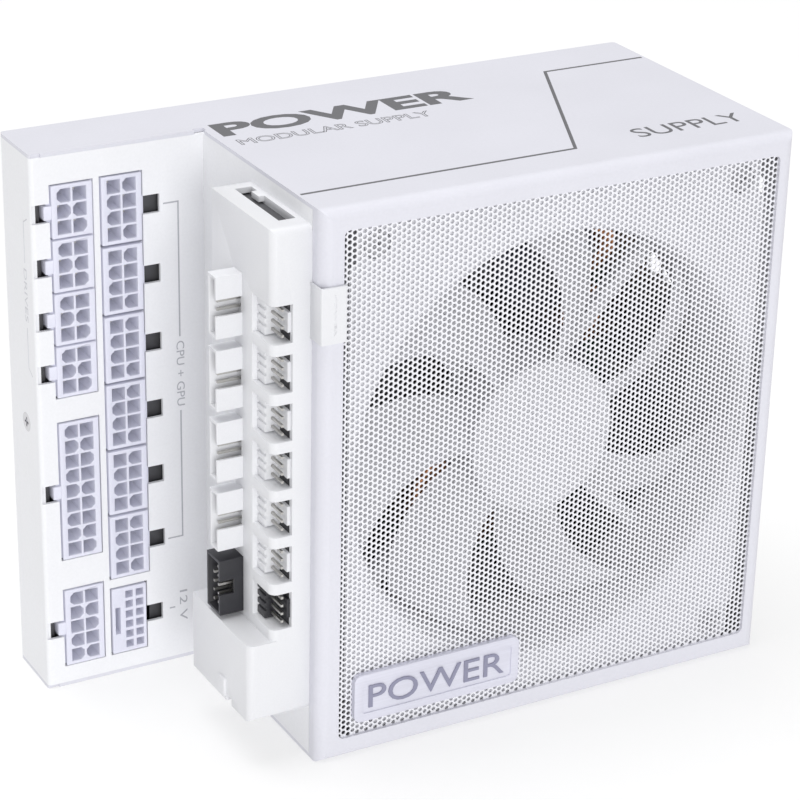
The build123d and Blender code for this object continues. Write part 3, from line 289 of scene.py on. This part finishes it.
def punched_sheet_tree():
    """Geometry Nodes for an upright sheet, facing the front, with staggered columns of holes."""
    tree = bpy.data.node_groups.new("punched_sheet", "GeometryNodeTree")
    for label, kind, value in (
        ("Columns", "NodeSocketInt", 10), ("Rows", "NodeSocketInt", 10),
        ("Pitch", "NodeSocketFloat", HOLE_PITCH), ("Hole Diameter", "NodeSocketFloat", HOLE_DIAMETER),
        ("Width", "NodeSocketFloat", 0.01), ("Height", "NodeSocketFloat", 0.01),
        ("Sheet", "NodeSocketFloat", 0.0006), ("Hole Shift", "NodeSocketFloat", 0.0),
        ("Middle", "NodeSocketVector", (0.0, 0.0, 0.0)), ("Paint", "NodeSocketMaterial", None),
    ):
        made = tree.interface.new_socket(name=label, in_out="INPUT", socket_type=kind)
        if value is not None:
            made.default_value = value
    tree.interface.new_socket(name="Geometry", in_out="OUTPUT", socket_type="NodeSocketGeometry")
    given = node(tree, "NodeGroupInput").outputs
    number = node(tree, "GeometryNodeInputIndex").outputs[0]
    column = calc(tree, "FLOOR", calc(tree, "DIVIDE", number, given["Rows"]))
    row = calc(tree, "SUBTRACT", number, calc(tree, "MULTIPLY", column, given["Rows"]))
    stagger = calc(tree, "MULTIPLY", calc(tree, "MODULO", column, 2.0), 0.5)
    middle_column = calc(tree, "MULTIPLY", calc(tree, "SUBTRACT", given["Columns"], 1.0), 0.5)
    middle_row = calc(tree, "MULTIPLY", calc(tree, "SUBTRACT", given["Rows"], 0.5), 0.5)
    step = calc(tree, "MULTIPLY", given["Pitch"], sqrt(3) / 2)
    across = calc(tree, "MULTIPLY", calc(tree, "SUBTRACT", column, middle_column), step)
    upward = calc(
        tree, "MULTIPLY",
        calc(tree, "SUBTRACT", calc(tree, "ADD", row, stagger), middle_row), given["Pitch"],
    )
    spot = node(
        tree, "ShaderNodeCombineXYZ", {0: calc(tree, "ADD", across, given["Hole Shift"]), 1: upward}
    ).outputs[0]
    count = calc(tree, "MULTIPLY", given["Columns"], given["Rows"])
    spots = node(tree, "GeometryNodePoints", {"Count": count, "Position": spot}).outputs[0]
    radius = calc(tree, "MULTIPLY", given["Hole Diameter"], 0.5)
    ring = node(tree, "GeometryNodeCurvePrimitiveCircle", {"Resolution": HOLE_SIDES, "Radius": radius})
    holes = node(
        tree, "GeometryNodeInstanceOnPoints", {"Points": spots, "Instance": ring.outputs[0]}
    ).outputs[0]
    outline = node(
        tree, "GeometryNodeCurvePrimitiveQuadrilateral",
        {"Width": given["Width"], "Height": given["Height"]},
    ).outputs[0]
    both = node(tree, "GeometryNodeJoinGeometry")
    tree.links.new(outline, both.inputs[0])
    tree.links.new(node(tree, "GeometryNodeRealizeInstances", {0: holes}).outputs[0], both.inputs[0])
    face = node(tree, "GeometryNodeFillCurve", {"Curve": both.outputs[0]}).outputs[0]
    lifted = node(
        tree, "GeometryNodeExtrudeMesh", {"Mesh": face, "Offset Scale": given["Sheet"], "Individual": False}
    ).outputs[0]
    closed = node(tree, "GeometryNodeJoinGeometry")
    tree.links.new(lifted, closed.inputs[0])
    tree.links.new(node(tree, "GeometryNodeFlipFaces", {"Mesh": face}).outputs[0], closed.inputs[0])
    welded = node(
        tree, "GeometryNodeMergeByDistance", {"Geometry": closed.outputs[0], "Distance": 1e-6}
    ).outputs[0]
    upright = node(
        tree, "GeometryNodeTransform",
        {"Geometry": welded, "Translation": given["Middle"], "Rotation": (radians(90), 0.0, 0.0)},
    ).outputs[0]
    real = node(tree, "GeometryNodeRealizeInstances", {0: upright}).outputs[0]
    painted = node(
        tree, "GeometryNodeSetMaterial", {"Geometry": real, "Material": given["Paint"]}
    ).outputs[0]
    node(tree, "NodeGroupOutput", {0: painted})
    return tree


punched_sheet = punched_sheet_tree()
print("punched sheet tree:", len(punched_sheet.nodes), "nodes")

# %% [markdown]
# ## Running the tree
# A modifier's inputs are set before anything looks at the object, and the result is then kept as a
# plain mesh. That way the strips behave like any other mesh afterwards.

# %% Three strips of grille
def grown(name, tree, values):
    """The plain mesh object that a Geometry Nodes tree makes from named values."""
    seed = mesh_object(name, [], [])
    growth = seed.modifiers.new("growth", "NODES")
    growth.node_group = tree
    for item in tree.interface.items_tree:
        if item.in_out == "INPUT" and item.name in values:
            growth[item.identifier] = values[item.name]
    graph = bpy.context.evaluated_depsgraph_get()
    mesh = bpy.data.meshes.new_from_object(seed.evaluated_get(graph))
    seed.modifiers.remove(growth)
    seed.data = mesh
    mesh.name = name
    return seed


sheet_low, sheet_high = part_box("fan_grille")
sheet_size = sheet_high - sheet_low
sheet_middle = (sheet_low + sheet_high) / 2
badge_low, badge_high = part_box("badge_plate")
column_count = int((sheet_size.x - GRILLE_MARGIN) / COLUMN_STEP)
row_count = int((sheet_size.z - GRILLE_MARGIN) / HOLE_PITCH)
first = 0
for strip in range(GRILLE_STRIPS):
    last = column_count
    if strip < GRILLE_STRIPS - 1:
        last = 2 * round(column_count * (strip + 1) / GRILLE_STRIPS / 2)
    columns = last - first
    holes_x0 = sheet_middle.x + (first - column_count / 2) * COLUMN_STEP
    holes_x1 = sheet_middle.x + (last - column_count / 2) * COLUMN_STEP
    x0 = sheet_low.x if strip == 0 else holes_x0
    x1 = sheet_high.x if strip == GRILLE_STRIPS - 1 else holes_x1
    piece = grown(
        f"grille_strip_{strip + 1}", punched_sheet,
        {
            "Columns": columns, "Rows": row_count, "Pitch": HOLE_PITCH, "Hole Diameter": HOLE_DIAMETER,
            "Width": x1 - x0, "Height": sheet_size.z, "Sheet": GRILLE_SHEET,
            "Hole Shift": (holes_x0 + holes_x1 - x0 - x1) / 2,
            "Middle": ((x0 + x1) / 2, sheet_low.y + GRILLE_SHEET, sheet_middle.z), "Paint": mesh_paint,
        },
    )
    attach(piece, "case")
    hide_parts("fan_grille")
    first = last
    print(piece.name, "columns", columns, "faces", len(piece.data.polygons))

# %% [markdown]
# ## Soft edges on moulded parts
# Moulded plastic never has a knife edge: the mould gives every rim a tiny radius, and that radius
# is what catches the light. A shader can fake it, but real geometry also shows in the outline.
# So each moulded part, and the badge, gets a copy whose loose triangles are welded and whose
# sharp edges are bevelled by one or two tenths of a millimetre.

# %% Soft edges on moulded parts
def softened(part_name, width, segments=2, angle=35.0):
    """A welded copy of a part with its sharp edges slightly rounded, which stands for the part."""
    source = frame["nodes"][part_name]
    mesh = source.data.copy()
    mesh.name = part_name + "_soft"
    work = bmesh.new()
    work.from_mesh(mesh)
    bmesh.ops.remove_doubles(work, verts=work.verts, dist=1e-6)
    work.to_mesh(mesh)
    work.free()
    piece = bpy.data.objects.new(part_name + "_soft", mesh)
    bpy.context.scene.collection.objects.link(piece)
    edge = piece.modifiers.new("edge", "BEVEL")
    edge.width = width
    edge.segments = segments
    edge.limit_method = "ANGLE"
    edge.angle_limit = radians(angle)
    edge.miter_outer = "MITER_ARC"
    edge.harden_normals = False
    graph = bpy.context.evaluated_depsgraph_get()
    piece.data = bpy.data.meshes.new_from_object(piece.evaluated_get(graph))
    piece.modifiers.clear()
    piece.data.shade_smooth()
    piece.data.set_sharp_from_angle(angle=radians(30))
    piece.data.materials.clear()
    piece.data.materials.append(coat[node_slot[part_name]])
    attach(piece, source["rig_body"])
    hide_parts(part_name)
    return piece


soft_width = {
    "front_headers": 0.12, "usb_header": 0.12, "black_header": 0.12, "hub_cover": 0.20, "hub_clip": 0.18,
    "badge_plate": 0.20, "ac_inlet": 0.25, "switch_housing": 0.20, "switch_rocker": 0.20,
}
for name in frame["nodes"]:
    if name.startswith(("socket_", "side_header_")) and name != "socket_pins":
        soft_width[name] = 0.13
soft_pieces = [softened(name, width * MM) for name, width in soft_width.items()]
print("softened parts:", len(soft_pieces), "faces:", sum(len(p.data.polygons) for p in soft_pieces))

# %% [markdown]
# ## The surfaces that things are laid on
# The films and prints below lie on flat walls of the case and the hub. Their places could be typed
# in as numbers, but then they would stay behind if the case changed. So each wall's place is read
# from the box of a part that touches it.

# %% The surfaces that things are laid on
SOCKET_PROUD = 0.4   # the sockets stand this far in front of the panel


def box_mm(part_name):
    """The lowest and highest corners of a measured part, in mm."""
    low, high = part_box(part_name)
    return low / MM, high / MM


top_z = box_mm("fan_cover")[1].z
end_x = box_mm("chassis_base")[0].x
panel_y = box_mm("socket_18pin")[0].y + SOCKET_PROUD
plate_low, plate_high = box_mm("hub_base")
step_x = plate_high.x
print("top", round(top_z, 2), "end", round(end_x, 2), "panel", round(panel_y, 2), "step", round(step_x, 2))

# %% [markdown]
# ## Painted shade behind gaps
# Behind the latch notches and under the hub's cable slot there are deep gaps, and they lie in shade.
# They could be left black, but then no light comes back at all. Thin dark plates, with the same
# soft edges as the mouldings, paint that shade and give the light something to fall on.

# %% Painted shade behind gaps
# Dark paint for the plates: painted shade of the deep gaps, not a colour of the supply.
gap_shade_paint = finish("gap_shade_paint", (0.075, 0.075, 0.082), 0.45, grain=2400.0, relief=0.3)


def thin_plate(name, low, high, body, edge=0.1):
    """A dark plate between two corners, in mm, with rounded edges, which paints the shade in a gap."""
    work = bmesh.new()
    bmesh.ops.create_cube(work, size=1.0)
    for v in work.verts:
        v.co = [(a + b) / 2 + c * (b - a) for a, b, c in zip(low, high, v.co)]
    bmesh.ops.bevel(work, geom=work.edges, offset=edge, segments=2, profile=0.5, affect="EDGES")
    for v in work.verts:
        v.co *= MM
    mesh = bpy.data.meshes.new(name)
    work.to_mesh(mesh)
    work.free()
    plate = bpy.data.objects.new(name, mesh)
    bpy.context.scene.collection.objects.link(plate)
    mesh.materials.append(gap_shade_paint)
    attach(plate, body)
    return plate


# The plates behind the panel's notches and in the hub's slot are painted shade.
SHADE_PLATE = 0.3
SHADE_PLATE_BOTTOM, SHADE_PLATE_TOP = 8.0, 141.0
shade_plate_y = panel_y + 2.7
right_edge = box_mm("socket_8pin_1")[1].x
left_edge = box_mm("socket_6pin_1")[0].x
board_x = box_mm("hub_board")[0].x
thin_plate(
    "right_notch_shade", (right_edge + 0.2, shade_plate_y, SHADE_PLATE_BOTTOM),
    (step_x - 1.6, shade_plate_y + SHADE_PLATE, SHADE_PLATE_TOP), "case",
)
thin_plate(
    "left_notch_shade", (end_x + 1.2, shade_plate_y, SHADE_PLATE_BOTTOM),
    (left_edge - 0.1, shade_plate_y + SHADE_PLATE, SHADE_PLATE_TOP), "case",
)
thin_plate(
    "slot_shade", (board_x + 0.1, plate_low.y + 0.7, plate_high.z - 1.4),
    (plate_low.x - 0.2, plate_high.y - 0.3, plate_high.z - 0.4), "hub",
)
print("dark plates: 3")

# %% [markdown]
# ## Printed lines
# The case is decorated with thin grey printed lines. They could be painted in a material with a
# mask, but a print is a layer of ink, and a thin ribbon of real thickness stays sharp at any
# distance. The ribbon's corners are mitred, so that its width is the same all the way.

# %% Printed lines
INK = 0.03   # thickness of a print, in mm
grey_ink = finish("grey_ink", (0.135, 0.135, 0.145), 0.55, grain=2400.0, relief=0.3)
pale_ink = finish("pale_ink", (0.44, 0.44, 0.48), 0.55, grain=2400.0, relief=0.3)
faint_ink = finish("faint_ink", (0.62, 0.62, 0.66), 0.55, grain=2400.0, relief=0.3)


def on_surface(origin, along, up):
    """The matrix that lays flat work (X right, Y up) on a surface with those directions, in mm."""
    along, up = Vector(along), Vector(up)
    out = along.cross(up)
    turn = Matrix((along, up, out)).transposed().to_4x4()
    return Matrix.Translation(Vector(origin) * MM) @ turn @ Matrix.Scale(MM, 4)


def ribbon(points, width, thickness):
    """Points and faces of a flat closed ribbon along a line of 2-D points, with mitred corners."""
    points = [Vector(p) for p in points]
    runs = [(b - a).normalized() for a, b in zip(points, points[1:])]
    verts, faces = [], []
    for i, point in enumerate(points):
        before, after = runs[max(i - 1, 0)], runs[min(i, len(runs) - 1)]
        mitre = (before + after).normalized()
        side = Vector((-mitre.y, mitre.x)) * (width / 2 / mitre.dot(before))
        for offset in (side, -side):
            for z in (0.0, thickness):
                verts.append((point.x + offset.x, point.y + offset.y, z))
    for i in range(len(points) - 1):
        a, b = 4 * i, 4 * i + 4
        faces += [(a + 1, a + 3, b + 3, b + 1), (a, b, b + 2, a + 2)]
        faces += [(a, a + 1, b + 1, b), (a + 2, b + 2, b + 3, a + 3)]
    end = 4 * (len(points) - 1)
    faces += [(0, 2, 3, 1), (end, end + 1, end + 3, end + 2)]
    return verts, faces


def closed_and_outward(mesh):
    """Weld a mesh and turn all its faces outwards."""
    work = bmesh.new()
    work.from_mesh(mesh)
    bmesh.ops.remove_doubles(work, verts=work.verts, dist=1e-7)
    bmesh.ops.recalc_face_normals(work, faces=work.faces)
    work.to_mesh(mesh)
    work.free()


def printed(name, parts, place, paint, body):
    """One printed piece from several flat closed shapes laid on a surface."""
    verts, faces = [], []
    for part_verts, part_faces in parts:
        faces += [tuple(i + len(verts) for i in face) for face in part_faces]
        verts += [place @ Vector(v) for v in part_verts]
    piece = mesh_object(name, verts, faces)
    closed_and_outward(piece.data)
    piece.data.materials.append(paint)
    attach(piece, body)
    return piece


top_place = on_surface((0, 0, top_z), (1, 0, 0), (0, 1, 0))
panel_place = on_surface((0, panel_y, 0), (1, 0, 0), (0, 0, 1))
end_place = on_surface((end_x, 0, 0), (0, -1, 0), (0, 0, 1))
top_line = [(-43.6, -30.0), (33.0, -29.6), (59.0, 27.5), (90.0, 27.5)]
printed("top_line", [ribbon(top_line, 0.9, INK)], top_place, grey_ink, "case")
panel_lines = [
    [(-55.6, 132.0), (-51.5, 132.0), (-51.5, 94.9)],
    [(-51.5, 73.9), (-51.5, 37.1), (-55.7, 37.1)],
    [(-55.6, 16.0), (-54.0, 16.0)],
]
printed(
    "panel_lines", [ribbon(line, 0.4, INK) for line in panel_lines],
    panel_place, pale_ink, "case",
)
end_lines = [
    [(-26.0, 132.5), (-28.5, 131.0), (-28.5, 120.0)],
    [(-28.5, 102.4), (-28.5, 91.4), (-26.0, 89.8)],
]
printed(
    "end_wall_lines", [ribbon(line, 0.35, INK) for line in end_lines],
    end_place, faint_ink, "case",
)
print("printed lines: 3 pieces")

# %% [markdown]
# ## Lettering
# A supply is marked with what it is and what its sockets are for, here in plain upright words.
# Letters could be drawn as curves by hand, but a text object does it, once it is turned into a
# mesh and fitted to a box.
# For outlined letters, the same text is drawn as a fine wire along its edges and pressed flat.
# Each box below is left, bottom, right and top on the surface, in mm.

# %% Lettering
def lettering(
    name, words, place, box, paint, body="case",
    bold=0.0, thickness=INK, wire=0.0,
):
    """Raised flat letters, fitted to a box (x0, y0, x1, y1) in mm on a surface."""
    text = bpy.data.curves.new(name, "FONT")
    text.body = words
    text.resolution_u = 4
    text.offset = bold
    if wire:
        text.fill_mode = "NONE"
        text.bevel_depth = wire
        text.bevel_resolution = 0
    else:
        text.extrude = 0.1
    draft = bpy.data.objects.new(name, text)
    bpy.context.scene.collection.objects.link(draft)
    graph = bpy.context.evaluated_depsgraph_get()
    mesh = bpy.data.meshes.new_from_object(draft.evaluated_get(graph))
    bpy.data.objects.remove(draft)
    lows = [min(v.co[i] for v in mesh.vertices) for i in range(3)]
    highs = [max(v.co[i] for v in mesh.vertices) for i in range(3)]
    x0, y0, x1, y1 = box
    size = (x1 - x0, y1 - y0, thickness)
    for v in mesh.vertices:
        share = [(v.co[i] - lows[i]) / (highs[i] - lows[i]) for i in range(3)]
        v.co = place @ Vector((x0 + share[0] * size[0], y0 + share[1] * size[1], share[2] * size[2]))
    piece = bpy.data.objects.new(name, mesh)
    bpy.context.scene.collection.objects.link(piece)
    closed_and_outward(mesh)
    mesh.materials.clear()
    mesh.materials.append(paint)
    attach(piece, body)
    return piece


lettering("main_print", "POWER", top_place, (-42.0, 15.5, 30.0, 25.5), grey_ink, bold=0.035)
lettering("kind_print", "MODULAR SUPPLY", top_place, (-40.6, 8.0, 14.0, 12.2), grey_ink, wire=0.018)
lettering("corner_print", "SUPPLY", top_place, (52.5, -29.5, 85.3, -23.1), grey_ink)
down_panel = on_surface((0, panel_y, 0), (0, 0, -1), (1, 0, 0))
lettering("upper_label", "CPU + GPU", down_panel, (-93.6, -52.5, -75.2, -50.3), pale_ink)
lettering("lower_label", "12 V", down_panel, (-20.6, -52.6, -11.4, -50.4), pale_ink)
down_end = on_surface((end_x, 0, 0), (0, 0, -1), (0, -1, 0))
lettering("end_label", "DRIVES", down_end, (-118.4, -29.5, -104.0, -27.5), faint_ink)
print("lettering done")

# %% [markdown]
# ## Badge and clip marks
# The badge is a thin metal plate with a sunk field and raised darker letters. The clip that holds
# the hub carries a mark pressed out of its own plastic. Both are plain words here.

# %% Badge and clip marks
badge_letters = finish("badge_letters", (0.27, 0.27, 0.37), 0.40, metal=0.3, drift=0.05, grain=2000.0)
badge_place = on_surface((0, (badge_low.y + 0.4 * MM) / MM, 0), (1, 0, 0), (0, 0, 1))
lettering(
    "badge_word", "POWER", badge_place,
    (badge_low.x / MM + 4.2, badge_low.z / MM + 3.5, badge_high.x / MM - 4.2, badge_high.z / MM - 3.5),
    badge_letters, "case", thickness=0.25,
)
clip_low, clip_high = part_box("hub_clip")
clip_place = on_surface((0, clip_low.y / MM, 0), (0, 0, -1), (1, 0, 0))
lettering(
    "clip_mark", "POWER", clip_place,
    (-clip_high.z / MM + 2.0, clip_low.x / MM + 3.4, -clip_low.z / MM - 2.0, clip_high.x / MM - 2.9),
    hub_plastic, "hub", thickness=0.12,
)
print("badge and clip marked")
